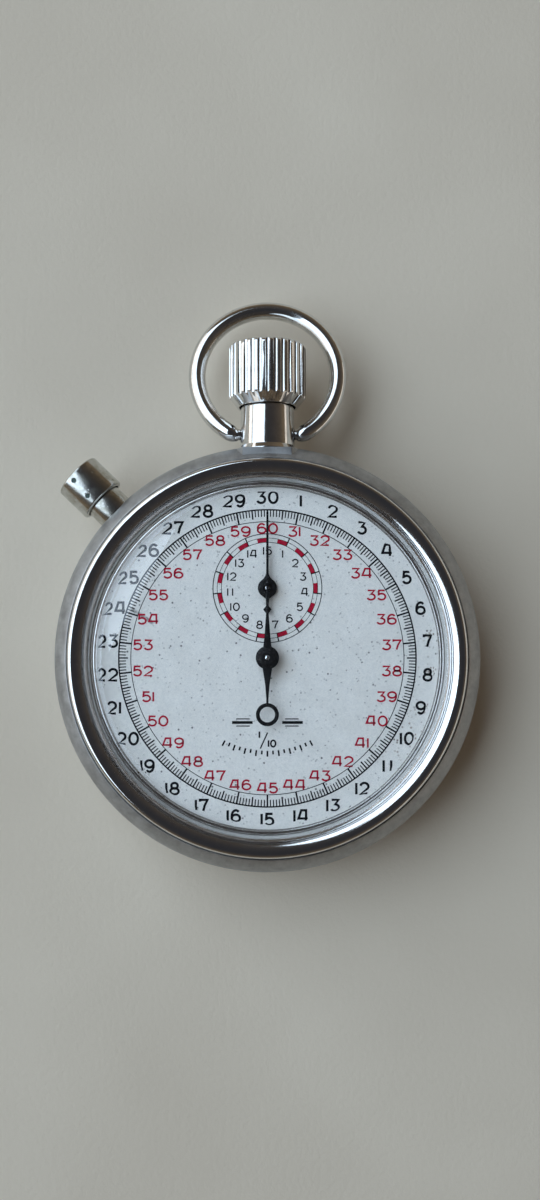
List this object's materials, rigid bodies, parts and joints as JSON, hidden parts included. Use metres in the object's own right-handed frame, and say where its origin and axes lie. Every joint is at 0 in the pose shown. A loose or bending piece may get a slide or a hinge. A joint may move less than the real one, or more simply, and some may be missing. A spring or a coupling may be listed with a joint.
{
  "type": "mechanical stopwatch",
  "caption": "Round pocket-size mechanical stopwatch: domed glass, printed dial, sweep hand and minute register, fluted crown inside a bow, side reset pusher, full movement.",
  "frame": {"origin": "centre of the case back's flat face", "axes": "+Z out of the dial, +Y towards the crown, +X towards the dial's 3 o'clock"},
  "size_m": [0.052, 0.0708, 0.0163],
  "materials": {
    "case_metal": "worn satin nickel with pits and scratches",
    "bright_metal": "polished plating with fine scratches",
    "pusher_metal": "worn nickel plating",
    "glass": "clear and domed",
    "dial_face": "aged off-white enamel paint, slightly spotted",
    "hand_black": "satin black",
    "plate_metal": "nickel-plated",
    "wheel_brass": "satin",
    "jewel": "polished",
    "spring_steel": "blued",
    "steel": "polished"
  },
  "bodies": {
    "case": {"case_band": "case_metal", "case_back": "case_metal", "bezel": "bright_metal", "crystal": "glass", "pendant_tube": "bright_metal", "pusher_tube": "pusher_metal", "dial": "dial_face", "dial_screws": "steel", "main_plate": "plate_metal", "barrel_bridge": "plate_metal", "train_bridge": "plate_metal", "pallet_bridge": "plate_metal", "balance_cock": "plate_metal", "bridge_screws": "steel", "case_screws": "steel", "jewel_bearings": "jewel", "click": "steel", "click_spring": "spring_steel", "crown_wheel_screw": "steel", "hairspring_stud": "steel", "regulator": "steel", "crown_spring": "spring_steel", "pusher_spring": "spring_steel"},
    "crown_slider": {"press_collar": "steel"},
    "crown_and_stem": {"crown": "bright_metal", "winding_stem": "steel"},
    "winding_pinion": {"winding_pinion": "steel"},
    "crown_wheel": {"crown_wheel": "steel"},
    "ratchet": {"ratchet_wheel": "steel", "ratchet_screw": "steel", "barrel_arbor": "steel"},
    "barrel": {"barrel_drum": "wheel_brass", "barrel_cover": "wheel_brass", "mainspring": "spring_steel"},
    "second": {"second_wheel": "wheel_brass", "second_pinion": "steel"},
    "third": {"third_wheel": "wheel_brass", "third_pinion": "steel"},
    "sweep": {"sweep_wheel": "wheel_brass", "sweep_arbor": "steel", "sweep_heart": "steel", "sweep_hand": "hand_black"},
    "escape": {"escape_wheel": "steel", "escape_pinion": "steel"},
    "pallet": {"pallet_lever": "steel", "pallet_arbor": "steel"},
    "balance": {"balance_wheel": "wheel_brass", "balance_staff": "steel", "balance_roller": "steel", "hairspring": "spring_steel"},
    "intermediate": {"intermediate_wheel": "wheel_brass"},
    "minute": {"minute_wheel": "wheel_brass", "minute_heart": "steel", "minute_hand": "hand_black"},
    "pusher": {"pusher_cap": "pusher_metal", "pusher_stem": "steel"},
    "hammer": {"reset_hammer": "steel"},
    "brake": {"brake_lever": "steel"},
    "bow": {"bow": "bright_metal"}
  },
  "joints": [
    {"name": "crown_press", "type": "slide", "parent": "case", "child": "crown_slider", "axis": [0, -1, 0], "range_m": [0, 0.0012], "stiffness_N_per_m": 800, "springref_m": -0.002, "deforming": ["crown_spring"]},
    {"name": "crown_wind", "type": "hinge", "parent": "crown_slider", "child": "crown_and_stem", "pos_m": [0, 0.035, 0.0072], "axis": [0, 1, 0], "continuous": true},
    {"name": "winding_pinion_turn", "type": "hinge", "parent": "case", "child": "winding_pinion", "pos_m": [0, 0.0155, 0.0072], "axis": [0, 1, 0], "continuous": true},
    {"name": "crown_wheel_turn", "type": "hinge", "parent": "case", "child": "crown_wheel", "pos_m": [0, 0.011, 0.005], "axis": [0, 0, 1], "continuous": true},
    {"name": "ratchet_turn", "type": "hinge", "parent": "case", "child": "ratchet", "pos_m": [0.01098, 0.0023, 0.005], "axis": [0, 0, 1], "continuous": true},
    {"name": "sweep_turn", "type": "hinge", "parent": "case", "child": "sweep", "pos_m": [0, 0, 0.007], "axis": [0, 0, 1], "continuous": true},
    {"name": "barrel_turn", "type": "hinge", "parent": "case", "child": "barrel", "pos_m": [0.01098, 0.0023, 0.007], "axis": [0, 0, 1], "continuous": true},
    {"name": "second_turn", "type": "hinge", "parent": "case", "child": "second", "pos_m": [0.00689, -0.00743, 0.007], "axis": [0, 0, 1], "continuous": true},
    {"name": "third_turn", "type": "hinge", "parent": "case", "child": "third", "pos_m": [-0.00118, -0.0067, 0.007], "axis": [0, 0, 1], "continuous": true},
    {"name": "escape_turn", "type": "hinge", "parent": "case", "child": "escape", "pos_m": [-0.0065, 0.00115, 0.007], "axis": [0, 0, 1], "continuous": true},
    {"name": "intermediate_turn", "type": "hinge", "parent": "case", "child": "intermediate", "pos_m": [0.00255, 0.00371, 0.0105], "axis": [0, 0, 1], "continuous": true},
    {"name": "minute_turn", "type": "hinge", "parent": "case", "child": "minute", "pos_m": [0, 0.0083, 0.0105], "axis": [0, 0, 1], "continuous": true},
    {"name": "pallet_swing", "type": "hinge", "parent": "case", "child": "pallet", "pos_m": [-0.01014, 0.00179, 0.007], "axis": [0, 0, 1], "range_deg": [-5, 5]},
    {"name": "balance_swing", "type": "hinge", "parent": "case", "child": "balance", "pos_m": [-0.01433, 0.00253, 0.006], "axis": [0, 0, 1], "range_deg": [-220, 220], "stiffness_Nm_per_rad": 0.0000022},
    {"name": "reset_press", "type": "slide", "parent": "case", "child": "pusher", "axis": [0.7193, -0.6947, 0], "range_m": [0, 0.0012], "stiffness_N_per_m": 800, "springref_m": -0.002, "deforming": ["pusher_spring"]},
    {"name": "hammer_swing", "type": "hinge", "parent": "case", "child": "hammer", "pos_m": [-0.016, 0.0035, 0.01], "axis": [0, 0, -1], "range_deg": [0, 8.03]},
    {"name": "brake_swing", "type": "hinge", "parent": "case", "child": "brake", "pos_m": [-0.0085, 0.0125, 0.0071], "axis": [0, 0, -1], "range_deg": [0, 8.03]},
    {"name": "bow_swing", "type": "hinge", "parent": "case", "child": "bow", "pos_m": [0, 0.0276, 0.0072], "axis": [1, 0, 0], "range_deg": [-100, 130]}
  ],
  "couplings": [
    {"joint": "winding_pinion_turn", "follows": "crown_wind", "ratio": 1},
    {"joint": "crown_wheel_turn", "follows": "crown_wind", "ratio": 0.33333},
    {"joint": "ratchet_turn", "follows": "crown_wind", "ratio": -0.25},
    {"joint": "barrel_turn", "follows": "sweep_turn", "ratio": -0.002381},
    {"joint": "second_turn", "follows": "sweep_turn", "ratio": 0.016667},
    {"joint": "third_turn", "follows": "sweep_turn", "ratio": -0.13333},
    {"joint": "escape_turn", "follows": "sweep_turn", "ratio": -10},
    {"joint": "intermediate_turn", "follows": "sweep_turn", "ratio": -0.2},
    {"joint": "minute_turn", "follows": "sweep_turn", "ratio": 0.033333},
    {"joint": "hammer_swing", "follows": "reset_press", "rad_per_m": 116.5},
    {"joint": "brake_swing", "follows": "crown_press", "rad_per_m": 116.5}
  ]
}
